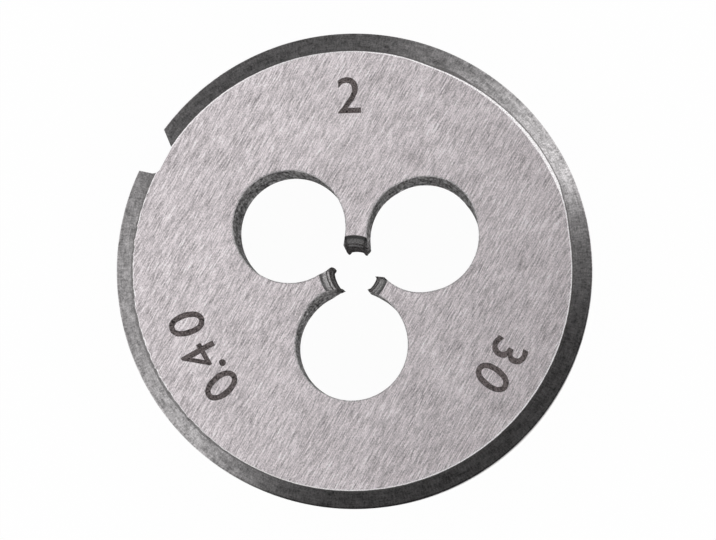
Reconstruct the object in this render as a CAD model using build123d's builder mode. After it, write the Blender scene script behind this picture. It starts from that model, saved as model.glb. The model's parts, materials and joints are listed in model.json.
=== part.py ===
"""Round threading die, M2 x 0.4 right hand, ground from one piece of high-speed steel.

Millimetres. The origin is the centre of the rear face, and +Z runs along the axis to the
front face, which is the marked face. Angles are seen from the front, from +X towards +Y.
"""

import os
from math import radians, tan

from build123d import *

# Blank
outside_diameter = 16.0
thickness = 5.0
bevel_angle = 45.0
rear_bevel = 0.60
front_bevel = 0.63
front_bevel_runout = 0.06  # the front bevel was turned slightly off the axis
front_bevel_runout_angle = 195.0

# Chip holes
chip_hole_count = 3
chip_hole_diameter = 3.76
chip_hole_pitch_diameter = 5.12
first_chip_hole_angle = 27.0
chip_hole_drift = [(0.03, 0.0), (-0.01, 0.06), (0.065, 0.07)]  # how far off its place each was drilled
chip_hole_edge_break = 0.04
cutting_face_angle = 64.0  # between the two cutting faces that look into one chip hole

# Thread
thread_diameter = 2.0
thread_pitch = 0.4
thread_angle = 60.0
pitch_line_depth = 3 / 8  # of the height of the sharp vee, in from the thread diameter
core_depth = 17 / 24  # of the same height: the core of the screw that it cuts
thread_root_clearance = 0.02
lead_mouth_allowance = 0.18  # from the thread's outside to the edge of the lead cone
lead_cone_angle = 32.0

# Groove in the rim, beside one of the chip holes
groove_chip_hole = 1  # counted from the first chip hole, which is 0
groove_offset_angle = 3.0
groove_depth = 0.66
groove_floor_width = 1.02
groove_floor_tilt = 2.0
groove_corner_radius = 0.27
groove_angle = 51.0
groove_lean = 12.0  # the cutter leaned over, so one wall is steeper

# Conical seats in the rim for the holding screws of a die stock
screw_seat_diameter = 1.6
screw_seat_angle = 90.0
screw_seat_offset_angle = 60.0  # either side of the groove

cut_margin = 0.5  # how far the cutting shapes run out past the steel

outside_radius = outside_diameter / 2
chip_hole_pitch_radius = chip_hole_pitch_diameter / 2
chip_hole_spacing = 360 / chip_hole_count
chip_hole_angles = [first_chip_hole_angle + i * chip_hole_spacing for i in range(chip_hole_count)]
groove_direction = chip_hole_angles[groove_chip_hole] + groove_offset_angle
groove_floor_radius = outside_radius - groove_depth

thread_radius = thread_diameter / 2
flank_slope = tan(radians(thread_angle / 2))
vee_height = thread_pitch / 2 / flank_slope
pitch_radius = thread_radius - vee_height * pitch_line_depth
crest_radius = thread_radius - vee_height * core_depth  # of the teeth on the lands
root_radius = thread_radius + thread_root_clearance
mouth_radius = thread_radius + lead_mouth_allowance


def at_angle(radius, angle):
    """Point on the rear face at this distance from the axis and this angle."""
    return Vector(radius, 0).rotate(Axis.Z, angle)


with BuildPart() as round_die:
    # Turned blank, with its rear bevel
    Cylinder(outside_radius, thickness, align=(Align.CENTER, Align.CENTER, Align.MIN))
    rear_face = round_die.faces().sort_by(Axis.Z)[0]
    chamfer(rear_face.edges(), rear_bevel, angle=bevel_angle, reference=rear_face)

    # Front bevel: a cone whose axis stands beside that of the blank
    cone_centre = at_angle(front_bevel_runout, front_bevel_runout_angle)
    face_radius = outside_radius - front_bevel
    cone_reach = outside_radius + cut_margin
    cone_drop = (cone_reach - face_radius) * tan(radians(bevel_angle))
    with BuildSketch(Plane(cone_centre, x_dir=(1, 0, 0), z_dir=(0, -1, 0))):
        with BuildLine():
            Polyline(
                (0, 0),
                (cone_reach, 0),
                (cone_reach, thickness - cone_drop),
                (face_radius, thickness),
                (0, thickness),
                close=True,
            )
        make_face()
    revolve(axis=Axis(cone_centre, (0, 0, 1)), mode=Mode.INTERSECT)

    # Chip holes, with their edges broken on both faces
    chip_hole_places = [
        at_angle(chip_hole_pitch_radius, angle) + Vector(drift)
        for angle, drift in zip(chip_hole_angles, chip_hole_drift)
    ]
    with Locations(*chip_hole_places):
        Hole(chip_hole_diameter / 2)
    chip_hole_rims = round_die.edges().filter_by(GeomType.CIRCLE).group_by(SortBy.RADIUS)[0]
    chamfer(chip_hole_rims, chip_hole_edge_break)

    # Bore at the tooth crests, with a lead cone at each face
    lead_depth = (mouth_radius - crest_radius) / tan(radians(lead_cone_angle / 2))
    with BuildSketch(Plane.XZ):
        with BuildLine():
            Polyline(
                (0, 0),
                (mouth_radius, 0),
                (crest_radius, lead_depth),
                (crest_radius, thickness - lead_depth),
                (mouth_radius, thickness),
                (0, thickness),
                close=True,
            )
        make_face()
    revolve(axis=Axis.Z, mode=Mode.SUBTRACT)

    # Cutting faces: radial flats that open each chip hole into the bore
    gullet_reach = chip_hole_pitch_radius / 2
    gullet_half_width = gullet_reach * tan(radians(cutting_face_angle / 2))
    with BuildSketch():
        with PolarLocations(0, chip_hole_count, start_angle=first_chip_hole_angle):
            Polygon(
                (0, 0),
                (gullet_reach, -gullet_half_width),
                (gullet_reach, gullet_half_width),
                align=None,
            )
    extrude(amount=thickness, mode=Mode.SUBTRACT)

    # Rim groove
    groove_plane = Plane(
        origin=at_angle(groove_floor_radius, groove_direction),
        x_dir=at_angle(1, groove_direction + groove_floor_tilt),
        z_dir=(0, 0, 1),
    )
    groove_reach = groove_depth + cut_margin
    with BuildSketch(groove_plane):
        with BuildLine():
            floor = Line((0, -groove_floor_width / 2), (0, groove_floor_width / 2))
            steep_wall = PolarLine(floor @ 1, groove_reach, groove_angle / 2 - groove_lean)
            leaning_wall = PolarLine(floor @ 0, groove_reach, -groove_angle / 2 - groove_lean)
            Line(steep_wall @ 1, leaning_wall @ 1)
        make_face()
        fillet(vertices().sort_by_distance(floor @ 1)[0], groove_corner_radius)
    extrude(amount=thickness, mode=Mode.SUBTRACT)

    # Screw seats
    seat_depth = screw_seat_diameter / 2 / tan(radians(screw_seat_angle / 2))
    seat_height = seat_depth + cut_margin
    seat_mouth_radius = seat_height * tan(radians(screw_seat_angle / 2))
    for side in (-1, 1):
        seat_direction = groove_direction + side * screw_seat_offset_angle
        seat_tip = at_angle(outside_radius - seat_depth, seat_direction) + Vector(0, 0, thickness / 2)
        with Locations(Plane(origin=seat_tip, z_dir=at_angle(1, seat_direction))):
            Cone(
                0,
                seat_mouth_radius,
                seat_height,
                align=(Align.CENTER, Align.CENTER, Align.MIN),
                mode=Mode.SUBTRACT,
            )

    # Thread: a right-hand helical groove between the teeth of the three lands
    groove_top_half = thread_pitch / 4 + (pitch_radius - crest_radius) * flank_slope
    groove_root_half = thread_pitch / 4 + (pitch_radius - root_radius) * flank_slope
    thread_start = (0, 0, -thread_pitch)
    thread_length = thickness + 2 * thread_pitch
    with BuildLine():
        helix = Helix(thread_pitch, thread_length, crest_radius, center=thread_start)
    with BuildSketch(Plane(thread_start, x_dir=(1, 0, 0), z_dir=(0, -1, 0))):
        with BuildLine():
            Polyline(
                (crest_radius / 2, -groove_top_half),
                (crest_radius, -groove_top_half),
                (root_radius, -groove_root_half),
                (root_radius, groove_root_half),
                (crest_radius, groove_top_half),
                (crest_radius / 2, groove_top_half),
                close=True,
            )
        make_face()
    sweep(path=helix, is_frenet=True, mode=Mode.SUBTRACT)

os.makedirs("parts", exist_ok=True)
round_die.part.label = "round_die"
export_step(round_die.part, "parts/round_die.step")
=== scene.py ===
"""Looks of a round threading die, M2 x 0.4, around its fixed frame.

The die is worked in millimetres and brought to metres when it is finished. It lies on its rear
face, with its axis on Z. Angles are in degrees, seen from the front, from +X towards +Y.
"""

import json
from math import atan2, cos, degrees, pi, radians, sin, tan

import bmesh
import bpy
from mathutils import Matrix, Vector
from mathutils.noise import noise as noise_at


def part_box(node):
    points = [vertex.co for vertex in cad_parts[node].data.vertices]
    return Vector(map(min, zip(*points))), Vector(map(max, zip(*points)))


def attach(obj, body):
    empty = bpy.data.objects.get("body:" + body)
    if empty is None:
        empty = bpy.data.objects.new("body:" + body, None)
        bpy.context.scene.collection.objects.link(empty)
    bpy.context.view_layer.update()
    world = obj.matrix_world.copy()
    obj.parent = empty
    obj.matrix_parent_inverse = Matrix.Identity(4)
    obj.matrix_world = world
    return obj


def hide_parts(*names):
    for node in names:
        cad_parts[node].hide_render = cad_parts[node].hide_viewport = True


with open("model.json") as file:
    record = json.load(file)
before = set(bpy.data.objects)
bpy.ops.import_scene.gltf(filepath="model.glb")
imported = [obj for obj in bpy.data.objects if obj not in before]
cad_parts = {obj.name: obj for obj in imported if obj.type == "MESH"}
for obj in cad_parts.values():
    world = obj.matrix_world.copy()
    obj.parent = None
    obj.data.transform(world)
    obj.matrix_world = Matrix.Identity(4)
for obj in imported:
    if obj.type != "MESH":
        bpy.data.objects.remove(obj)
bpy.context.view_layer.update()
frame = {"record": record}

MM = 0.001
NODE = "round_die"
MOUNTS = {mount["name"]: mount for mount in frame["record"]["mounts"]}

# Sizes that the frame gives
low_corner, high_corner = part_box(NODE)
THICKNESS = (high_corner.z - low_corner.z) / MM
OUTSIDE_RADIUS = MOUNTS["rim"]["dims"]["r_mm"]
CREST_RADIUS = MOUNTS["thread"]["dims"]["r_mm"]
GROOVE_PLACE = Vector(MOUNTS["rim_groove"]["pos_m"]) / MM
GROOVE_DIRECTION = degrees(atan2(GROOVE_PLACE.y, GROOVE_PLACE.x))
SEAT_RADIUS = MOUNTS["screw_seat_a"]["dims"]["r_mm"]
SEAT_DEPTH = MOUNTS["screw_seat_a"]["dims"]["length_mm"]
SEAT_PLACES = [Vector(MOUNTS[name]["pos_m"]) / MM for name in ("screw_seat_a", "screw_seat_b")]

# Blank
RIM_SIDES = 576
REAR_BEVEL = 0.60
FRONT_BEVEL = 0.63
BEVEL_RUNOUT = 0.06
BEVEL_RUNOUT_ANGLE = 195.0
CORNER_BREAK = 0.03

# Corner between the front face and its bevel: a bright facet, and a duller break outside it
FACET_SLOPE = 20.0
BREAK_SLOPE = 34.0
FACET_START = -0.035  # where the facet starts, out from the corner
FACET_WIDTH = 0.04
BREAK_WIDTH = 0.045
INSET_STEP = 0.02  # width of the two rings that become the facet and the break
LEAST_FACET = 0.01
LEAST_BREAK = 0.02

# The corner was touched up by hand on one side, where the facet moves outwards and widens.
# Each stretch: first and last angle, and how many degrees it takes to come and to go.
MOVED_STRETCH = (5.0, 80.0, 18.0, 15.0)
MOVED_START = 0.05
MOVED_START_ANGLE = 23.0
MOVED_SLIDE = 0.0026  # inwards for each degree
WIDENED_STRETCH = (17.0, 72.0, 8.0, 12.0)
WIDENED_WIDTH = 0.104
WIDENED_UP_TO = 34.0
WIDENED_TAPER = 0.0018  # for each degree past that angle
CHIPPED_WIDTH = 0.125
CHIPPED_PLACE = (63.2, 7.8)  # angle and half width

# It was worn on the other side: the facet narrows, the break widens and both get more ragged
NARROWED_PLACE = (195.0, 60.0)
NARROWED_SHARE = 0.75
DULLED_PLACE = (200.0, 50.0)
ROUGHENED_PLACE = (195.0, 50.0)
ROUGHENED_SHARE = 3
RAGGED = 0.014  # how far the corner wanders
RAGGED_COARSE = 45  # marks of the wander to a radian
RAGGED_FINE = 110
RAGGED_FINE_SHARE = 0.7
RAGGED_MIDDLE_SHARE = 0.6
RAGGED_SEEDS = (3, 17, 31)  # of the facet's start, its end and the end of the break

# Chip holes
CHIP_HOLES = 3
CHIP_HOLE_RADIUS = 1.88
CHIP_HOLE_PITCH_RADIUS = 2.56
CHIP_HOLE_SIDES = 144
FIRST_CHIP_HOLE_ANGLE = 27.0
CHIP_HOLE_DRIFT = [(0.03, 0.0), (-0.01, 0.06), (0.065, 0.07)]  # how far off its place each was drilled
HOLE_EDGE_BREAK = 0.04
HOLE_RAGGED = 0.035  # how far the edge break wanders
HOLE_RAGGED_MARKS = 25  # marks of the wander to a radian
# Where the drill ran off: hole, angle, half width, and how much wider at the front and the rear
RUN_OFFS = (
    (0, 64, 50, 0.134, 0.0),
    (0, 80, 40, 0.0, 0.06),
    (0, 125, 30, 0.035, 0.0),
    (0, 138, 50, 0.0, 0.04),
    (0, 250, 30, 0.04, 0.04),
    (1, 150, 60, 0.02, -0.02),
    (2, 115, 35, 0.10, 0.0),
    (2, 195, 50, 0.01, 0.05),
)
GULLETS = ((-12, 60), (113, 169), (239, 305))  # angles of the two cutting faces at each chip hole

# Thread
PITCH = 0.4
THREAD_RADIUS = 1.0
FLANK_ANGLE = 30.0
PITCH_LINE_DEPTH = 3 / 8  # of the height of the sharp vee, in from the thread's outside
ROOT_CLEARANCE = 0.02
THREAD_SIDES = 96
REAMER_SIDES = 192
MOUTH_RADIUS = 1.18
LEAD_SLOPE = 16.0
BURR_RADIUS = 0.70  # how far in the tap reaches, into the burrs
# Burrs on the lands: angle, half width in degrees and how far each stands into the bore
BURRS = (
    (64, 7, 0.055),
    (110, 7, 0.055),
    (172, 8, 0.06),
    (207, 30, 0.025),
    (236, 9, 0.045),
    (304, 9, 0.03),
    (350, 7, 0.065),
)

# Rim groove
GROOVE_FLOOR_WIDTH = 1.02
GROOVE_FLOOR_TILT = 2.0
GROOVE_CORNER = 0.27
GROOVE_CORNER_TURN = 38.0  # about half of the angle that the corner turns through
GROOVE_WALL_ANGLES = (13.5, -37.5)

# Screw seats
SEAT_SIDES = 64

# Etched numbers
NUMBER_HEIGHT = 1.26
NUMBER_SHARE = 0.73  # height of a number in the size of the font
NUMBER_DEPTH = 0.02
NUMBERS = (  # text, distance from the axis and angle
    ("2", 5.80, 91.5),
    ("0", 5.81, 221.0),
    (".", 5.81, 215.1),
    ("4", 5.81, 209.2),
    ("0", 5.81, 197.8),
    ("3", 5.80, 332.3),
    ("0", 5.80, 322.2),
)
ETCH_GRAIN = 0.012  # outline points nearer than this are one
ETCH_RAGGED = 0.016  # how far the etched outline wanders
ETCH_RAGGED_LENGTH = 0.07
ETCH_CREEP = 0.014  # how far the etching crept out past the mask

RUN_OUT = 0.5  # how far the cutting shapes stand out past the steel
NEAR = 1e-3  # points within this of a place are at it
MERGE_DISTANCE = 1e-5
SMOOTH_ANGLE = 10.0  # faces that meet at less than this are shaded as one


# ---------------------------------------------------------------------------------------------
# Shared helpers
# ---------------------------------------------------------------------------------------------


def at_angle(radius, angle, z=0.0):
    """Point at this distance from the axis, at this angle."""
    return Vector((radius * cos(radians(angle)), radius * sin(radians(angle)), z))


def angle_of(point):
    """Angle of a point round the axis, from 0 to 360."""
    return degrees(atan2(point.y, point.x)) % 360


def angle_between(angle, other):
    """Smallest angle between two directions."""
    return abs((angle - other + 180) % 360 - 180)


def only(obj):
    """Leave one object selected and active."""
    bpy.ops.object.select_all(action="DESELECT")
    obj.select_set(True)
    bpy.context.view_layer.objects.active = obj
    return obj


def settle(obj):
    """Bring the object's place, turn and scale into its mesh."""
    only(obj)
    bpy.ops.object.transform_apply(location=True, rotation=True, scale=True)
    return obj


def added(name):
    """Name the primitive that was just added, with its place in its mesh."""
    obj = bpy.context.active_object
    obj.name = name
    obj.data.name = name
    return settle(obj)


def pick(obj, mode, wanted):
    """Open the mesh for editing with only the wanted vertices, edges or faces selected."""
    only(obj)
    bpy.ops.object.mode_set(mode="EDIT")
    bpy.ops.mesh.select_mode(type=mode)
    bpy.ops.mesh.select_all(action="DESELECT")
    mesh = bmesh.from_edit_mesh(obj.data)
    group = {"VERT": mesh.verts, "EDGE": mesh.edges, "FACE": mesh.faces}[mode]
    for element in group:
        if wanted(element):
            element.select_set(True)
    mesh.select_flush_mode()
    bmesh.update_edit_mesh(obj.data)


def done():
    bpy.ops.object.mode_set(mode="OBJECT")


def at_height(z, tolerance=NEAR):
    """Test for an element that lies wholly at one height."""
    def test(element):
        verts = getattr(element, "verts", [element])
        return all(abs(v.co.z - z) < tolerance for v in verts)
    return test


def level(face):
    """Test for a face that looks straight up or down."""
    return abs(face.normal.z) > 0.99


def upright(face):
    """Test for a face that looks sideways."""
    return abs(face.normal.z) < 0.01


def slanted(face):
    """Test for a face on a cone."""
    return 0.1 < abs(face.normal.z) < 0.9


def tidy(obj):
    """Merge doubles and turn every face outwards."""
    pick(obj, "VERT", lambda v: True)
    bpy.ops.mesh.remove_doubles(threshold=MERGE_DISTANCE)
    bpy.ops.mesh.normals_make_consistent(inside=False)
    done()
    return obj


def apply_modifier(obj, kind, **settings):
    only(obj)
    modifier = obj.modifiers.new(kind.title(), kind)
    for key, value in settings.items():
        setattr(modifier, key, value)
    bpy.ops.object.modifier_apply(modifier=modifier.name)


def cut(body, tool):
    """Take the tool's shape out of the body. The new faces get the tool's finish."""
    apply_modifier(
        body, "BOOLEAN", object=tool, operation="DIFFERENCE", solver="EXACT", material_mode="TRANSFER"
    )
    bpy.data.objects.remove(tool)


def finish_of(obj, material):
    obj.data.materials.clear()
    obj.data.materials.append(material)
    return obj


def copied(obj):
    """Copy with its own mesh."""
    only(obj)
    bpy.ops.object.duplicate()
    return bpy.context.active_object


# ---------------------------------------------------------------------------------------------
# Materials
# ---------------------------------------------------------------------------------------------


USUAL_SPECULAR = 0.5  # the level that the shader itself starts with


def new_group(name, inputs, outputs):
    """Shader node group with these named inputs and outputs."""
    group = bpy.data.node_groups.new(name, "ShaderNodeTree")
    for socket, kind, value in inputs:
        made = group.interface.new_socket(socket, in_out="INPUT", socket_type=kind)
        if value is not None:
            made.default_value = value
    for socket, kind in outputs:
        group.interface.new_socket(socket, in_out="OUTPUT", socket_type=kind)
    way_in = group.nodes.new("NodeGroupInput")
    way_out = group.nodes.new("NodeGroupOutput")
    return group, way_in, way_out


def feed(tree, socket, value):
    """Link an output to this input, or set a plain value on it."""
    if isinstance(value, bpy.types.NodeSocket):
        tree.links.new(value, socket)
    elif value is not None:
        socket.default_value = value


def math_node(tree, operation, first, second):
    """Math node fed by sockets or plain numbers. Gives its output socket."""
    node = tree.nodes.new("ShaderNodeMath")
    node.operation = operation
    for socket, value in zip(node.inputs, (first, second)):
        feed(tree, socket, value)
    return node.outputs["Value"]


def vector_math(tree, operation, first, second=None):
    """Vector math node fed by sockets. Gives its vector output."""
    node = tree.nodes.new("ShaderNodeVectorMath")
    node.operation = operation
    for socket, value in zip(node.inputs, (first, second)):
        feed(tree, socket, value)
    return node.outputs["Vector"]


def combined(tree, x, y, z):
    """Vector made of three sockets or plain numbers."""
    node = tree.nodes.new("ShaderNodeCombineXYZ")
    for socket, value in zip(node.inputs, (x, y, z)):
        feed(tree, socket, value)
    return node.outputs["Vector"]


def noise(tree, vector):
    """Noise whose marks are one unit apart, spread to about 0 to 1."""
    node = tree.nodes.new("ShaderNodeTexNoise")
    node.inputs["Scale"].default_value = 1
    node.inputs["Detail"].default_value = 2
    node.inputs["Roughness"].default_value = 0.6
    tree.links.new(vector, node.inputs["Vector"])
    spread = tree.nodes.new("ShaderNodeMapRange")
    spread.inputs["From Min"].default_value = 0.3
    spread.inputs["From Max"].default_value = 0.7
    tree.links.new(node.outputs["Fac"], spread.inputs["Value"])
    return spread.outputs["Result"]


def straight_lines_group():
    """Straight lines along X, of this width and length."""
    tree, way_in, way_out = new_group(
        "straight_lines",
        [
            ("Vector", "NodeSocketVector", None),
            ("Width", "NodeSocketFloat", 1.0),
            ("Length", "NodeSocketFloat", 1.0),
        ],
        [("Lines", "NodeSocketFloat")],
    )
    along_x = math_node(tree, "DIVIDE", 1.0, way_in.outputs["Length"])
    across = math_node(tree, "DIVIDE", 1.0, way_in.outputs["Width"])
    marks_to_metre = combined(tree, along_x, across, along_x)
    stretched = vector_math(tree, "MULTIPLY", way_in.outputs["Vector"], marks_to_metre)
    tree.links.new(noise(tree, stretched), way_out.inputs["Lines"])
    return tree


def round_marks_group():
    """Marks on a turned surface, this long Around the axis and this long Along it."""
    tree, way_in, way_out = new_group(
        "round_marks",
        [
            ("Vector", "NodeSocketVector", None),
            ("Radius", "NodeSocketFloat", 1.0),
            ("Around", "NodeSocketFloat", 1.0),
            ("Along", "NodeSocketFloat", 1.0),
        ],
        [("Marks", "NodeSocketFloat")],
    )
    parts = tree.nodes.new("ShaderNodeSeparateXYZ")
    tree.links.new(way_in.outputs["Vector"], parts.inputs["Vector"])
    flat = combined(tree, parts.outputs["X"], parts.outputs["Y"], 0.0)
    direction = tree.nodes.new("ShaderNodeSeparateXYZ")
    tree.links.new(vector_math(tree, "NORMALIZE", flat), direction.inputs["Vector"])
    turns = math_node(tree, "DIVIDE", way_in.outputs["Radius"], way_in.outputs["Around"])
    x = math_node(tree, "MULTIPLY", direction.outputs["X"], turns)
    y = math_node(tree, "MULTIPLY", direction.outputs["Y"], turns)
    z = math_node(tree, "DIVIDE", parts.outputs["Z"], way_in.outputs["Along"])
    tree.links.new(noise(tree, combined(tree, x, y, z)), way_out.inputs["Marks"])
    return tree


def grain_group():
    """Even speckle of this size."""
    tree, way_in, way_out = new_group(
        "grain",
        [("Vector", "NodeSocketVector", None), ("Size", "NodeSocketFloat", 1.0)],
        [("Grain", "NodeSocketFloat")],
    )
    finer = math_node(tree, "DIVIDE", 1.0, way_in.outputs["Size"])
    sized = vector_math(tree, "MULTIPLY", way_in.outputs["Vector"], combined(tree, finer, finer, finer))
    tree.links.new(noise(tree, sized), way_out.inputs["Grain"])
    return tree


def toned_group():
    """Colour made lighter and darker by a pattern from 0 to 1."""
    tree, way_in, way_out = new_group(
        "toned",
        [
            ("Color", "NodeSocketColor", (0.5, 0.5, 0.5, 1)),
            ("Pattern", "NodeSocketFloat", 0.5),
            ("Contrast", "NodeSocketFloat", 0.2),
        ],
        [("Color", "NodeSocketColor")],
    )
    swing = math_node(tree, "SUBTRACT", way_in.outputs["Pattern"], 0.5)
    share = math_node(tree, "MULTIPLY", swing, way_in.outputs["Contrast"])
    tone = math_node(tree, "ADD", share, 1.0)
    tree.links.new(
        vector_math(tree, "MULTIPLY", way_in.outputs["Color"], combined(tree, tone, tone, tone)),
        way_out.inputs["Color"],
    )
    return tree


STRAIGHT_LINES = straight_lines_group()
ROUND_MARKS = round_marks_group()
GRAIN = grain_group()
TONED = toned_group()


def new_material(name):
    material = bpy.data.materials.new(name)
    material.use_nodes = True
    return material


def placed(tree, group, **values):
    """A node group in this material, fed by sockets or plain values."""
    node = tree.nodes.new("ShaderNodeGroup")
    node.node_tree = group
    for name, value in values.items():
        feed(tree, node.inputs[name], value)
    return node.outputs[0]


def mixed(tree, first, second, share):
    """Two patterns laid over each other, the second with this share."""
    kept = math_node(tree, "MULTIPLY", first, 1 - share)
    added_part = math_node(tree, "MULTIPLY", second, share)
    return math_node(tree, "ADD", kept, added_part)


def turned_place(tree, angle):
    """Object coordinates, turned so that this angle lies along X."""
    mapping = tree.nodes.new("ShaderNodeMapping")
    mapping.inputs["Rotation"].default_value.z = radians(-angle)
    tree.links.new(tree.nodes.new("ShaderNodeTexCoord").outputs["Object"], mapping.inputs["Vector"])
    return mapping.outputs["Vector"]


def steel(
    name,
    color,
    pattern,
    contrast,
    roughness,
    rough_swing=0.0,
    relief=0.0,
    shade=None,
    glance=1.0,
    metallic=1.0,
):
    """Material with a pattern in its colour, its roughness and its relief, in metres.

    pattern and shade are functions that make a value in the material's tree: pattern from 0 to 1,
    shade from 1 where the colour is kept to 0 where painted shade makes it black. glance is how
    much of the surface's usual mirroring is left when it is seen at a low angle.
    """
    material = new_material(name)
    tree = material.node_tree
    shader = tree.nodes["Principled BSDF"]
    marks = pattern(tree)
    tone = placed(tree, TONED, Color=(*color, 1), Pattern=marks, Contrast=contrast)
    if shade:
        unshaded = shade(tree)
        tone = vector_math(tree, "MULTIPLY", tone, combined(tree, unshaded, unshaded, unshaded))
    tree.links.new(tone, shader.inputs["Base Color"])
    shader.inputs["Metallic"].default_value = metallic
    shader.inputs["Specular IOR Level"].default_value = USUAL_SPECULAR * glance
    shader.inputs["Specular Tint"].default_value = (glance, glance, glance, 1)
    shader.inputs["Roughness"].default_value = roughness
    if rough_swing:
        swing = math_node(tree, "MULTIPLY", math_node(tree, "SUBTRACT", marks, 0.5), -rough_swing)
        tree.links.new(math_node(tree, "ADD", swing, roughness), shader.inputs["Roughness"])
    if relief:
        bump = tree.nodes.new("ShaderNodeBump")
        bump.inputs["Distance"].default_value = relief
        tree.links.new(marks, bump.inputs["Height"])
        tree.links.new(bump.outputs["Normal"], shader.inputs["Normal"])
    return material


def between(tree, value, start, end, low=0.0, high=1.0):
    """low where the value is at the start, high where it is at the end, and a ramp between."""
    node = tree.nodes.new("ShaderNodeMapRange")
    for name, number in (("From Min", start), ("From Max", end), ("To Min", low), ("To Max", high)):
        node.inputs[name].default_value = number
    tree.links.new(value, node.inputs["Value"])
    return node.outputs["Result"]


def ground_pattern(tree):
    """Fine straight lines that the grinding wheel left, with short deeper scratches and grain."""
    fine = placed(tree, STRAIGHT_LINES, Vector=turned_place(tree, 61), Width=0.036 * MM, Length=0.34 * MM)
    coarse = placed(tree, STRAIGHT_LINES, Vector=turned_place(tree, 57), Width=0.07 * MM, Length=0.8 * MM)
    speckle = placed(tree, GRAIN, Vector=turned_place(tree, 20), Size=0.055 * MM)
    clouds = placed(tree, GRAIN, Vector=turned_place(tree, 0), Size=1.1 * MM)
    lines = mixed(tree, fine, coarse, 0.3)
    return mixed(tree, mixed(tree, lines, speckle, 0.33), clouds, 0.1)


def bevel_pattern(tree):
    """Speckle with short ticks across the turning marks."""
    place = turned_place(tree, 0)
    radius = OUTSIDE_RADIUS * MM
    ticks = placed(tree, ROUND_MARKS, Vector=place, Radius=radius, Around=0.06 * MM, Along=0.16 * MM)
    rings = placed(tree, ROUND_MARKS, Vector=place, Radius=radius, Around=0.7 * MM, Along=0.05 * MM)
    zones = placed(tree, ROUND_MARKS, Vector=place, Radius=radius, Around=0.45 * MM, Along=0.2 * MM)
    speckle = placed(tree, GRAIN, Vector=place, Size=0.06 * MM)
    marks = mixed(tree, mixed(tree, ticks, rings, 0.35), speckle, 0.4)
    return mixed(tree, marks, zones, 0.3)


def rim_pattern(tree):
    """Fine lines round the rim, with some grain."""
    place = turned_place(tree, 0)
    radius = OUTSIDE_RADIUS * MM
    turning = placed(tree, ROUND_MARKS, Vector=place, Radius=radius, Around=1.2 * MM, Along=0.05 * MM)
    speckle = placed(tree, GRAIN, Vector=place, Size=0.09 * MM)
    return mixed(tree, turning, speckle, 0.3)


def bore_pattern(tree):
    """Torn grain down the wall of a drilled hole, and clouds."""
    place = turned_place(tree, 0)
    drawn_out = vector_math(tree, "MULTIPLY", place, combined(tree, 1.0, 1.0, 0.08))
    tears = placed(tree, GRAIN, Vector=drawn_out, Size=0.08 * MM)
    clouds = placed(tree, GRAIN, Vector=place, Size=0.6 * MM)
    return mixed(tree, tears, clouds, 0.3)


def grain_pattern(tree):
    return placed(tree, GRAIN, Vector=turned_place(tree, 0), Size=0.05 * MM)


def reach_of(tree, place):
    """Distance from the axis, in metres."""
    flat = vector_math(tree, "MULTIPLY", place, combined(tree, 1.0, 1.0, 0.0))
    node = tree.nodes.new("ShaderNodeVectorMath")
    node.operation = "LENGTH"
    tree.links.new(flat, node.inputs[0])
    return node.outputs["Value"]


def along(tree, angle):
    """How far a point lies along this direction from the axis, in metres."""
    parts = tree.nodes.new("ShaderNodeSeparateXYZ")
    tree.links.new(turned_place(tree, angle), parts.inputs["Vector"])
    return parts.outputs["X"]


def darkened(tree, *masks):
    """1 where all the masks are 0, and less by each mask's share where it is 1."""
    unshaded = 1.0
    for mask, share in masks:
        left = math_node(tree, "SUBTRACT", 1.0, math_node(tree, "MULTIPLY", mask, share))
        unshaded = math_node(tree, "MULTIPLY", unshaded, left)
    return unshaded


# Painted shade on the bevel's outer edge, on one side: where it lies and how much colour it takes
EDGE_SHADE_ANGLE = 297
EDGE_SHADE_REACH = (-0.075, -0.035)  # out from the rim: where it starts and where it is full
EDGE_SHADE_SIDE = (3, 5.5)  # the same, along its angle
EDGE_SHADE_SHARE = 0.62
# Painted shade on the lead cones: the upper and lower right ones, the crests, and a ring in each mouth
UPPER_LAND_ANGLE = 87
UPPER_LAND_SHADE = (0.35, 0.7)
UPPER_LAND_SHARE = 0.68
RIGHT_LAND_ANGLE = 327
RIGHT_LAND_SHADE = (0.45, 0.7)
RIGHT_LAND_SHARE = 0.35
MOUTH_RING = (-0.13, -0.08)  # out from the mouth of the cone
MOUTH_RING_END = -0.03
MOUTH_RING_LEFT = 0.5  # of the ring's darkness at the mouth itself
MOUTH_RING_SHARE = 0.7
CREST_RING = (0.13, 0.06)  # out from the crests of the teeth
CREST_RING_SHARE = 0.8
# Painted shade on the walls of the chip holes, farther from the axis
WALL_SHADE_REACH = (1.45, 2.3)  # from the axis
WALL_SHADE_SHARE = 0.45


def rises(tree, value, span, origin=0.0):
    """0 to 1 over a span in millimetres, counted from a radius or from the axis."""
    return between(tree, value, (origin + span[0]) * MM, (origin + span[1]) * MM)


def edge_shade(tree):
    """Painted shade along the outer edge of the bevel, on one side of the die."""
    reach = reach_of(tree, turned_place(tree, 0))
    edge = rises(tree, reach, EDGE_SHADE_REACH, OUTSIDE_RADIUS)
    side = rises(tree, along(tree, EDGE_SHADE_ANGLE), EDGE_SHADE_SIDE)
    return darkened(tree, (math_node(tree, "MULTIPLY", edge, side), EDGE_SHADE_SHARE))


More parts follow.
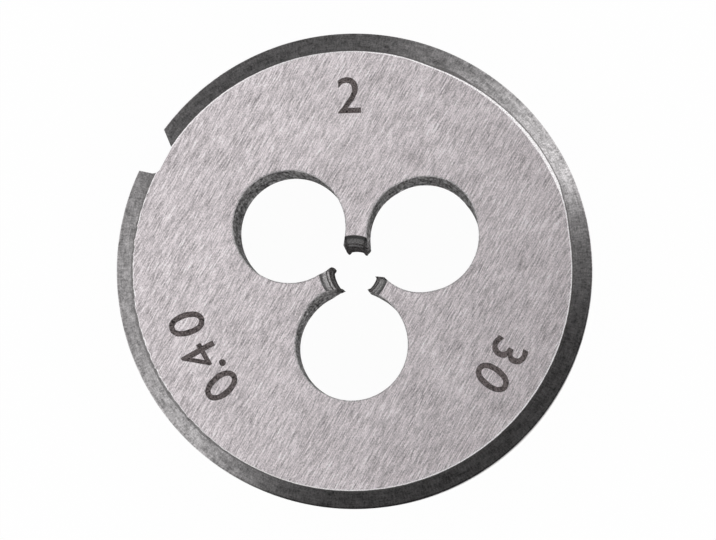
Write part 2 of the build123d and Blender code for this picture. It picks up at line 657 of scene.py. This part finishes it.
def land_shade(tree):
    """Painted shade on the upper cone, less on the lower right one and at the crests; dark rings in the
    mouths.
    """
    upper = rises(tree, along(tree, UPPER_LAND_ANGLE), UPPER_LAND_SHADE)
    right = rises(tree, along(tree, RIGHT_LAND_ANGLE), RIGHT_LAND_SHADE)
    reach = reach_of(tree, turned_place(tree, 0))
    mouth = rises(tree, reach, MOUTH_RING, MOUTH_RADIUS)
    ring_end = (MOUTH_RADIUS + MOUTH_RING_END) * MM
    mouth_end = between(tree, reach, ring_end, MOUTH_RADIUS * MM, 1.0, MOUTH_RING_LEFT)
    crest = rises(tree, reach, CREST_RING, CREST_RADIUS)
    ring = math_node(tree, "MULTIPLY", mouth, mouth_end)
    return darkened(
        tree,
        (upper, UPPER_LAND_SHARE),
        (right, RIGHT_LAND_SHARE),
        (ring, MOUTH_RING_SHARE),
        (crest, CREST_RING_SHARE),
    )


def wall_shade(tree):
    """Painted shade on the walls of the chip holes, which stay lighter near the bore."""
    reach = reach_of(tree, turned_place(tree, 0))
    return darkened(tree, (rises(tree, reach, WALL_SHADE_REACH), WALL_SHADE_SHARE))


ground = steel(
    "ground_face",
    (0.72, 0.664, 0.684),
    ground_pattern,
    contrast=1.75,
    roughness=0.33,
    rough_swing=0.15,
    relief=0.0012 * MM,
)
turned = steel(
    "turned_bevel",
    (0.60, 0.58, 0.585),
    bevel_pattern,
    contrast=2.0,
    roughness=0.36,
    rough_swing=0.08,
    relief=0.0008 * MM,
    shade=edge_shade,
)
rim = steel(
    "ground_rim",
    (0.62, 0.60, 0.605),
    rim_pattern,
    contrast=0.4,
    roughness=0.34,
    rough_swing=0.08,
    relief=0.0008 * MM,
)
facet = steel(
    "bright_facet", (0.94, 0.91, 0.92), grain_pattern, contrast=0.5, roughness=0.16, rough_swing=0.04
)
broken = steel(
    "broken_corner", (0.42, 0.405, 0.405), grain_pattern, contrast=0.6, roughness=0.4, rough_swing=0.1
)
drilled = steel(
    "drilled_wall",
    (0.33, 0.315, 0.315),
    bore_pattern,
    contrast=2.2,
    roughness=0.7,
    rough_swing=0.9,
    shade=wall_shade,
    glance=0.5,
    metallic=0,
)
deburred = steel(
    "deburred_edge", (0.6, 0.575, 0.585), grain_pattern, contrast=1.2, roughness=0.5, metallic=0.5
)
lead = steel(
    "lead_cone",
    (0.7, 0.68, 0.68),
    grain_pattern,
    contrast=1.7,
    roughness=0.42,
    rough_swing=0.1,
    shade=land_shade,
    glance=0.6,
)
# Painted shade inside the thread: its dark colour, and its mirroring at a low angle nearly taken away
tapped = steel(
    "tapped_thread",
    (0.16, 0.15, 0.15),
    grain_pattern,
    contrast=1.5,
    roughness=0.5,
    rough_swing=0.1,
    glance=0.05,
)
milled = steel(
    "milled_groove", (0.45, 0.44, 0.44), rim_pattern, contrast=0.4, roughness=0.42, rough_swing=0.1
)
etched = steel(
    "etched_mark",
    (0.1, 0.085, 0.085),
    grain_pattern,
    contrast=1.9,
    roughness=0.8,
    glance=0.3,
    metallic=0,
)


# ---------------------------------------------------------------------------------------------
# The die
# ---------------------------------------------------------------------------------------------


def turned_blank():
    """Disc with both bevels and its corners broken."""
    bpy.ops.mesh.primitive_cylinder_add(
        vertices=RIM_SIDES, radius=OUTSIDE_RADIUS, depth=THICKNESS, location=(0, 0, THICKNESS / 2)
    )
    blank = added("threading_die")
    for material in (turned, ground, rim, facet, broken):
        blank.data.materials.append(material)
    for z, width in ((0, REAR_BEVEL), (THICKNESS, FRONT_BEVEL)):
        pick(blank, "EDGE", at_height(z))
        bpy.ops.mesh.bevel(offset=width, offset_type="OFFSET", segments=1)
        done()

    # The front bevel runs out: its ring on the face is shifted, its ring on the rim is tilted
    pick(blank, "VERT", at_height(THICKNESS))
    bpy.ops.transform.translate(value=at_angle(BEVEL_RUNOUT, BEVEL_RUNOUT_ANGLE))
    done()
    rim_top = THICKNESS - FRONT_BEVEL
    tilt = BEVEL_RUNOUT / OUTSIDE_RADIUS
    pick(blank, "VERT", at_height(rim_top))
    ring = [v for v in bmesh.from_edit_mesh(blank.data).verts if v.select]
    runout = at_angle(1, BEVEL_RUNOUT_ANGLE)
    for v in ring:
        v.co.z = rim_top + tilt * v.co.dot(runout)
    bmesh.update_edit_mesh(blank.data)
    done()

    # Corners at the rim and the rear face
    for z in (0, REAR_BEVEL):
        pick(blank, "EDGE", at_height(z))
        bpy.ops.mesh.bevel(offset=CORNER_BREAK, offset_type="OFFSET", segments=1)
        done()
    pick(blank, "EDGE", at_height(rim_top, BEVEL_RUNOUT * 2))
    bpy.ops.mesh.bevel(offset=CORNER_BREAK, offset_type="OFFSET", segments=1)
    done()
    return blank


def give(obj, material, wanted):
    """Give the wanted faces one of the object's materials."""
    pick(obj, "FACE", wanted)
    obj.active_material_index = obj.data.materials.find(material.name)
    bpy.ops.object.material_slot_assign()
    done()


def bulge(angle, centre, span):
    """1 at the centre angle, falling smoothly to 0 at the span on either side."""
    away = angle_between(angle, centre) / span
    return cos(away * pi / 2) if away < 1 else 0.0


def blend(low, high, share):
    """From low at 0 to high at 1, smooth at both ends."""
    share = min(max(share, 0), 1)
    return low + (high - low) * share * share * (3 - 2 * share)


def stretch(angle, first, last, rise, fall):
    """1 between two angles, coming smoothly from 0 over the rise and going again over the fall."""
    return blend(0, 1, (angle - first) / rise) * blend(0, 1, (last - angle) / fall)


def wander(out, seed):
    """How far a hand-worked edge strays in this direction. It strays most on the left side."""
    coarse = noise_at(out * RAGGED_COARSE + Vector((seed, 0, 0)))
    fine = noise_at(out * RAGGED_FINE + Vector((0, seed, 0)))
    rougher = 1 + ROUGHENED_SHARE * bulge(angle_of(out), *ROUGHENED_PLACE)
    return RAGGED * rougher * (coarse + RAGGED_FINE_SHARE * fine)


def corner_rings(out):
    """Where the facet starts and ends and where the break ends, out from the corner."""
    angle = angle_of(out)
    moved_start = MOVED_START - MOVED_SLIDE * (angle - MOVED_START_ANGLE)
    start = blend(FACET_START, moved_start, stretch(angle, *MOVED_STRETCH))
    widened = WIDENED_WIDTH - WIDENED_TAPER * max(angle - WIDENED_UP_TO, 0)
    width = blend(FACET_WIDTH, widened, stretch(angle, *WIDENED_STRETCH))
    width *= 1 - NARROWED_SHARE * bulge(angle, *NARROWED_PLACE)
    dulled = BREAK_WIDTH * (1 + bulge(angle, *DULLED_PLACE))
    dulled = max(dulled, CHIPPED_WIDTH * bulge(angle, *CHIPPED_PLACE))
    inner_stray, middle_stray, outer_stray = (wander(out, seed) for seed in RAGGED_SEEDS)
    inner = start + inner_stray
    middle = start + width + middle_stray * RAGGED_MIDDLE_SHARE
    outer = start + width + dulled + outer_stray
    return inner, max(middle, inner + LEAST_FACET), max(outer, middle + LEAST_BREAK)


def work_corner(blank):
    """Bright facet and duller break round the front face."""
    centre = at_angle(BEVEL_RUNOUT, BEVEL_RUNOUT_ANGLE)
    corner = OUTSIDE_RADIUS - FRONT_BEVEL

    def ring_of(place):
        return (corner - (place - centre).to_2d().length) / INSET_STEP

    pick(blank, "FACE", at_height(THICKNESS))
    bpy.ops.mesh.inset(thickness=INSET_STEP)
    bpy.ops.mesh.inset(thickness=INSET_STEP)
    done()
    on_top = at_height(THICKNESS)
    give(blank, broken, lambda f: on_top(f) and ring_of(f.calc_center_median()) < 1)
    give(blank, facet, lambda f: on_top(f) and 1 < ring_of(f.calc_center_median()) < 2)
    pick(blank, "VERT", on_top)
    mesh = bmesh.from_edit_mesh(blank.data)
    for v in mesh.verts:
        if v.select:
            ring = round(ring_of(v.co))
            out = Vector((v.co.x - centre.x, v.co.y - centre.y, 0)).normalized()
            inner, middle, outer = corner_rings(out)
            facet_fall = (middle - inner) * tan(radians(FACET_SLOPE))
            break_fall = (outer - middle) * tan(radians(BREAK_SLOPE))
            v.co = centre + out * (corner + (outer, middle, inner)[ring])
            v.co.z = THICKNESS - (facet_fall + break_fall, facet_fall, 0)[ring]
    bmesh.update_edit_mesh(blank.data)
    done()


def flare_ends(tool, inset, rise, flare):
    """Draw both ends of a tool out into cones, which start this far inside the die's faces."""
    for z, way in ((inset, -1), (THICKNESS - inset, 1)):
        pick(tool, "FACE", at_height(z))
        bpy.ops.mesh.extrude_region_move(TRANSFORM_OT_translate={"value": (0, 0, way * rise)})
        bpy.ops.transform.resize(value=(flare, flare, 1), center_override=(0, 0, z + way * rise))
        done()


def chip_hole_drill():
    """Drill for one chip hole, flared at both faces to break the edges."""
    straight = THICKNESS - 2 * HOLE_EDGE_BREAK
    bpy.ops.mesh.primitive_cylinder_add(
        vertices=CHIP_HOLE_SIDES, radius=CHIP_HOLE_RADIUS, depth=straight, location=(0, 0, THICKNESS / 2)
    )
    drill = added("chip_hole_drill")
    rise = HOLE_EDGE_BREAK + RUN_OUT
    flare_ends(drill, HOLE_EDGE_BREAK, rise, (CHIP_HOLE_RADIUS + rise) / CHIP_HOLE_RADIUS)
    tidy(finish_of(drill, drilled))
    drill.data.materials.append(deburred)
    give(drill, deburred, slanted)
    return drill


def ragged(drill, number):
    """Let the edge break of one hole wander, and widen the hole where the drill ran off."""
    far_stray = (HOLE_EDGE_BREAK + RUN_OUT) / HOLE_EDGE_BREAK * HOLE_RAGGED
    pick(drill, "VERT", lambda v: True)
    mesh = bmesh.from_edit_mesh(drill.data)
    for v in mesh.verts:
        out = Vector((v.co.x, v.co.y, 0)).normalized()
        wider = 0
        for hole, centre, span, front, rear in RUN_OFFS:
            if hole == number:
                width = front if v.co.z > THICKNESS / 2 else rear
                wider += width * bulge(angle_of(out), centre, span)
        if v.co.z > THICKNESS:
            wider += far_stray * noise_at(out * HOLE_RAGGED_MARKS + Vector((number, 0, 0)))
        v.co += out * wider
    bmesh.update_edit_mesh(drill.data)
    done()
    return drill


def chip_hole_place(number):
    """Centre of one chip hole, where it was really drilled."""
    angle = FIRST_CHIP_HOLE_ANGLE + 360 / CHIP_HOLES * number
    return at_angle(CHIP_HOLE_PITCH_RADIUS, angle) + Vector((*CHIP_HOLE_DRIFT[number], 0))


def gullet_cutter(first, last):
    """Wedge that leaves the two cutting faces beside one chip hole."""
    reach = CHIP_HOLE_PITCH_RADIUS / 2
    bpy.ops.mesh.primitive_cube_add(size=1, location=(reach / 2, 0, THICKNESS / 2))
    wedge = bpy.context.active_object
    wedge.scale = (reach, 2 * reach * tan(radians((last - first) / 2)), THICKNESS + 2 * RUN_OUT)
    wedge = added("gullet_cutter")
    pick(wedge, "VERT", lambda v: v.co.x < reach / 2)
    bpy.ops.transform.resize(value=(1, 0, 1), center_override=(0, 0, 0))
    done()
    tidy(wedge)
    wedge.rotation_euler.z = radians((first + last) / 2)
    return finish_of(settle(wedge), drilled)


def lead_reamer():
    """Reamer for the bore, with a cone at each face and a dent for each burr on the lands."""
    lead_depth = (MOUTH_RADIUS - CREST_RADIUS) / tan(radians(LEAD_SLOPE))
    straight = THICKNESS - 2 * lead_depth
    bpy.ops.mesh.primitive_cylinder_add(
        vertices=REAMER_SIDES, radius=CREST_RADIUS, depth=straight, location=(0, 0, THICKNESS / 2)
    )
    reamer = added("lead_reamer")
    rise = lead_depth + RUN_OUT
    flare_ends(reamer, lead_depth, rise, 1 + rise * tan(radians(LEAD_SLOPE)) / CREST_RADIUS)
    pick(reamer, "VERT", lambda v: v.co.to_2d().length < CREST_RADIUS + NEAR)
    mesh = bmesh.from_edit_mesh(reamer.data)
    for v in mesh.verts:
        if v.select:
            angle = angle_of(v.co)
            burr = max(height * bulge(angle, centre, span) for centre, span, height in BURRS)
            v.co.xy = at_angle(CREST_RADIUS - burr, angle).xy
    bmesh.update_edit_mesh(reamer.data)
    done()
    tidy(finish_of(reamer, tapped))
    reamer.data.materials.append(lead)
    give(reamer, lead, slanted)
    return reamer


def thread_tap():
    """Tap: a right-hand screw that fills the grooves between the teeth."""
    slope = tan(radians(FLANK_ANGLE))
    vee_height = PITCH / 2 / slope
    pitch_radius = THREAD_RADIUS - vee_height * PITCH_LINE_DEPTH
    root_radius = THREAD_RADIUS + ROOT_CLEARANCE
    root_half = PITCH / 4 + (pitch_radius - root_radius) * slope
    core_half = PITCH / 4 + (pitch_radius - BURR_RADIUS) * slope
    bpy.ops.mesh.primitive_plane_add(
        size=1, rotation=(pi / 2, 0, 0), location=((BURR_RADIUS + root_radius) / 2, 0, 0)
    )
    tap = bpy.context.active_object
    tap.scale = (root_radius - BURR_RADIUS, 2 * core_half, 1)
    tap = added("thread_tap")

    # One groove of the thread: its two flanks, its root and the step to the next groove
    pick(tap, "VERT", lambda v: v.co.x > THREAD_RADIUS)
    bpy.ops.transform.resize(value=(1, 1, root_half / core_half), center_override=(root_radius, 0, 0))
    bpy.ops.mesh.select_all(action="SELECT")
    bpy.ops.mesh.delete(type="ONLY_FACE")
    done()
    pick(tap, "EDGE", lambda e: all(v.co.x < THREAD_RADIUS for v in e.verts))
    bpy.ops.mesh.delete(type="EDGE")
    done()
    pick(tap, "VERT", lambda v: v.co.x < THREAD_RADIUS and v.co.z < 0)
    bpy.ops.mesh.extrude_vertices_move(TRANSFORM_OT_translate={"value": (0, 0, 2 * core_half - PITCH)})
    done()
    turns = int((THICKNESS + 4 * RUN_OUT) / PITCH) + 1
    tap.location.z = -PITCH * 2
    settle(tap)
    apply_modifier(
        tap,
        "SCREW",
        angle=2 * pi,
        screw_offset=PITCH,
        iterations=turns,
        steps=THREAD_SIDES,
        render_steps=THREAD_SIDES,
        use_merge_vertices=True,
        merge_threshold=1e-4,
    )
    for z, way in ((-RUN_OUT / 2, -1), (THICKNESS + RUN_OUT / 2, 1)):
        pick(tap, "FACE", lambda f: True)
        bpy.ops.mesh.bisect(plane_co=(0, 0, z), plane_no=(0, 0, way), use_fill=True, clear_outer=True)
        done()
    return tidy(finish_of(tap, tapped))


def groove_cutter():
    """Milling cutter for the rim groove, with one rounded corner at the floor."""
    floor_radius = GROOVE_PLACE.to_2d().length
    reach = OUTSIDE_RADIUS - floor_radius + RUN_OUT
    half = GROOVE_FLOOR_WIDTH / 2
    bpy.ops.mesh.primitive_cube_add(size=1, location=(reach / 2, 0, THICKNESS / 2))
    cutter = bpy.context.active_object
    cutter.scale = (reach, GROOVE_FLOOR_WIDTH, THICKNESS + 2 * RUN_OUT)
    cutter = added("groove_cutter")
    for side, angle in zip((1, -1), GROOVE_WALL_ANGLES):
        pick(cutter, "VERT", lambda v: v.co.x > reach / 2 and v.co.y * side > 0)
        bpy.ops.transform.translate(value=(0, reach * tan(radians(angle)), 0))
        done()
    pick(cutter, "EDGE", lambda e: all(v.co.x < NEAR and v.co.y > half / 2 for v in e.verts))
    corner_length = GROOVE_CORNER * tan(radians(GROOVE_CORNER_TURN))
    bpy.ops.mesh.bevel(offset=corner_length, offset_type="OFFSET", segments=8)
    done()
    cutter.rotation_euler.z = radians(GROOVE_DIRECTION + GROOVE_FLOOR_TILT)
    cutter.location = at_angle(floor_radius, GROOVE_DIRECTION)
    return tidy(finish_of(settle(cutter), milled))


def seat_cutter(place):
    """Conical seat in the rim for a holding screw."""
    depth = SEAT_DEPTH + RUN_OUT
    mouth = SEAT_RADIUS * depth / SEAT_DEPTH
    bpy.ops.mesh.primitive_cone_add(vertices=SEAT_SIDES, radius1=mouth, radius2=0, depth=depth)
    cutter = bpy.context.active_object
    outwards = Vector((place.x, place.y, 0)).normalized()
    cutter.rotation_euler = (-outwards).to_track_quat("Z", "Y").to_euler()
    cutter.location = place + outwards * (RUN_OUT - depth / 2)
    return tidy(finish_of(added("seat_cutter"), milled))


def numeral(text, radius, angle):
    """One etched number, its top away from the axis."""
    bpy.ops.object.text_add()
    mark = bpy.context.active_object
    mark.data.body = text
    mark.data.size = NUMBER_HEIGHT / NUMBER_SHARE
    mark.data.align_x = "CENTER"
    mark.data.align_y = "CENTER"
    mark.data.extrude = NUMBER_DEPTH
    mark.data.resolution_u = 6
    only(mark)
    bpy.ops.object.convert(target="MESH")
    mark = bpy.context.active_object
    mark.name = "number_cutter"
    pick(mark, "VERT", lambda v: True)
    bpy.ops.mesh.remove_doubles(threshold=ETCH_GRAIN)
    mesh = bmesh.from_edit_mesh(mark.data)
    mesh.normal_update()
    outwards = [Vector((v.normal.x, v.normal.y, 0)).normalized() for v in mesh.verts]
    for v, way in zip(mesh.verts, outwards):
        place = Vector((v.co.x, v.co.y, 0)) / ETCH_RAGGED_LENGTH + Vector((0, 0, angle))
        v.co += way * (ETCH_CREEP + ETCH_RAGGED * noise_at(place))
    bmesh.update_edit_mesh(mark.data)
    done()
    mark.rotation_euler.z = radians(angle - 90)
    mark.location = at_angle(radius, angle, THICKNESS)
    return finish_of(settle(mark), etched)


def threading_die():
    """The die, cut from its blank. The numbers come first, while its face is whole."""
    die = turned_blank()
    give(die, ground, level)
    give(die, rim, upright)
    work_corner(die)
    bpy.ops.object.select_all(action="DESELECT")
    numbers = [numeral(*number) for number in NUMBERS]
    for number in numbers:
        number.select_set(True)
    bpy.context.view_layer.objects.active = numbers[0]
    bpy.ops.object.join()
    cut(die, numbers[0])
    drill = chip_hole_drill()
    for i in range(CHIP_HOLES):
        own_drill = ragged(copied(drill), i)
        own_drill.location = chip_hole_place(i)
        cut(die, settle(own_drill))
    bpy.data.objects.remove(drill)
    cut(die, lead_reamer())
    for first, last in GULLETS:
        cut(die, gullet_cutter(first, last))
    cut(die, groove_cutter())
    for place in SEAT_PLACES:
        cut(die, seat_cutter(place))
    cut(die, thread_tap())
    tidy(die)
    only(die)
    bpy.ops.object.shade_smooth_by_angle(angle=radians(SMOOTH_ANGLE))
    die.scale = (MM, MM, MM)
    settle(die)
    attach(die, "root")
    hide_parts(NODE)


threading_die()


# ---------------------------------------------------------------------------------------------
# Table, camera and light
# ---------------------------------------------------------------------------------------------


CAMERA_PLACE = Vector((6.3, -7.4, 200)) * MM
CAMERA_AIM = Vector((0.144, 0.007, THICKNESS)) * MM
LENS = 293

TABLE_WIDTH = 0.028
TABLE_DEPTH = 0.021
TABLE_TONE = 0.85
TABLE_GLOW = 0.97  # how much of the table is plain white where the camera sees it

# Tent of cards: black at the top, then a pale ring with a window, a black ring and low cards
TENT_RADIUS = 0.15
WINDOW_HALF_ANGLE = 32.0
WINDOW_TILT = 28.5
WINDOW_AZIMUTH = 160
WINDOW_AXIS = at_angle(sin(radians(WINDOW_TILT)), WINDOW_AZIMUTH, cos(radians(WINDOW_TILT)))
TOP_FROM = 62  # elevation
PALE_RING_FROM = 38
BLACK_RING_FROM = 25
RING_WINDOW = (22, 90)  # azimuths
CARD_TONES = {"black": 0.045, "dark": 0.11, "mid": 0.24, "grey": 0.5, "pale": 0.72}
# Azimuth where each low card starts, and its tone; None is a window
LOW_CARDS = (
    (0, "dark"),
    (17, None),
    (47, "grey"),
    (66, "mid"),
    (80, "dark"),
    (152, "grey"),
    (204, "pale"),
    (233, "mid"),
    (246, "black"),
    (354, "dark"),
)


def camera():
    """Camera above the die, a little to the lower right, with its top towards +Y."""
    forward = (CAMERA_AIM - CAMERA_PLACE).normalized()
    right = forward.cross(Vector((0, 1, 0))).normalized()
    up = right.cross(forward)
    data = bpy.data.cameras.new("camera")
    data.sensor_width = 36
    data.lens = LENS
    data.clip_start = 0.01
    obj = bpy.data.objects.new("camera", data)
    turn = Matrix((right, up, -forward)).transposed().to_4x4()
    obj.matrix_world = Matrix.Translation(CAMERA_PLACE) @ turn
    bpy.context.scene.collection.objects.link(obj)
    bpy.context.scene.camera = obj


def background_rays(nodes, links):
    """1 for rays that show the white background: seen straight, in metal or through glass."""
    paths = nodes.new("ShaderNodeLightPath")
    seen = paths.outputs["Is Camera Ray"]
    for kind in ("Is Glossy Ray", "Is Transmission Ray"):
        either = nodes.new("ShaderNodeMath")
        either.operation = "MAXIMUM"
        links.new(seen, either.inputs[0])
        links.new(paths.outputs[kind], either.inputs[1])
        seen = either.outputs["Value"]
    return seen


def white_table():
    """Pale sheet a little wider than the picture, which keeps the shadow of the die."""
    bpy.ops.mesh.primitive_plane_add(size=1)
    table = bpy.context.active_object
    table.name = "table"
    table.scale = (TABLE_WIDTH, TABLE_DEPTH, 1)
    settle(table)
    material = new_material("white_sheet")
    nodes = material.node_tree.nodes
    links = material.node_tree.links
    nodes.remove(nodes["Principled BSDF"])
    paper = nodes.new("ShaderNodeBsdfDiffuse")
    paper.inputs["Color"].default_value = (TABLE_TONE, TABLE_TONE, TABLE_TONE, 1)
    glow = nodes.new("ShaderNodeEmission")
    share = nodes.new("ShaderNodeMath")
    share.operation = "MULTIPLY"
    share.inputs[1].default_value = TABLE_GLOW
    mix = nodes.new("ShaderNodeMixShader")
    links.new(background_rays(nodes, links), share.inputs[0])
    links.new(share.outputs["Value"], mix.inputs["Fac"])
    links.new(paper.outputs["BSDF"], mix.inputs[1])
    links.new(glow.outputs["Emission"], mix.inputs[2])
    links.new(mix.outputs["Shader"], nodes["Material Output"].inputs["Surface"])
    finish_of(table, material)


def card_cloth(name, tone):
    """Cloth of a card round the table, at the tone that the metal mirrors."""
    material = new_material(name)
    nodes = material.node_tree.nodes
    nodes.remove(nodes["Principled BSDF"])
    cloth = nodes.new("ShaderNodeEmission")
    cloth.inputs["Color"].default_value = (tone, tone, tone, 1)
    material.node_tree.links.new(cloth.outputs["Emission"], nodes["Material Output"].inputs["Surface"])
    return material


def card_at(azimuth, elevation, up):
    """Tone of the card in this direction, or None where the tent is open to the white studio."""
    if up.angle(WINDOW_AXIS) < radians(WINDOW_HALF_ANGLE):
        return None
    if elevation > TOP_FROM:
        return "black"
    if elevation > PALE_RING_FROM:
        return None if RING_WINDOW[0] <= azimuth < RING_WINDOW[1] else "pale"
    if elevation > BLACK_RING_FROM:
        return "black"
    for start, tone in reversed(LOW_CARDS):
        if azimuth >= start:
            return tone


def card_tent():
    """Ring of cards round the table, with windows to the white studio, that only metal mirrors."""
    bpy.ops.mesh.primitive_uv_sphere_add(segments=120, ring_count=60, radius=TENT_RADIUS)
    tent = bpy.context.active_object
    tent.name = "card_tent"
    tent.data.materials.clear()
    tones = list(CARD_TONES)
    for tone in tones:
        tent.data.materials.append(card_cloth("card_" + tone, CARD_TONES[tone]))
    found = {}
    for face in tent.data.polygons:
        up = face.center.normalized()
        found[face.index] = card_at(angle_of(up), degrees(atan2(up.z, up.to_2d().length)), up)
        face.material_index = tones.index(found[face.index] or tones[0])
    pick(tent, "FACE", lambda f: found[f.index] is None)
    bpy.ops.mesh.delete(type="FACE")
    done()
    tent.visible_camera = False
    tent.visible_diffuse = False
    tent.visible_shadow = False


def studio_world():
    """White studio, seen straight and in metal, that lights the table softly."""
    world = bpy.data.worlds.new("studio")
    bpy.context.scene.world = world
    world.use_nodes = True
    nodes = world.node_tree.nodes
    background = nodes["Background"]
    background.inputs["Color"].default_value = (1, 1, 1, 1)


camera()
white_table()
card_tent()
studio_world()

bpy.context.scene.view_settings.view_transform = "Standard"
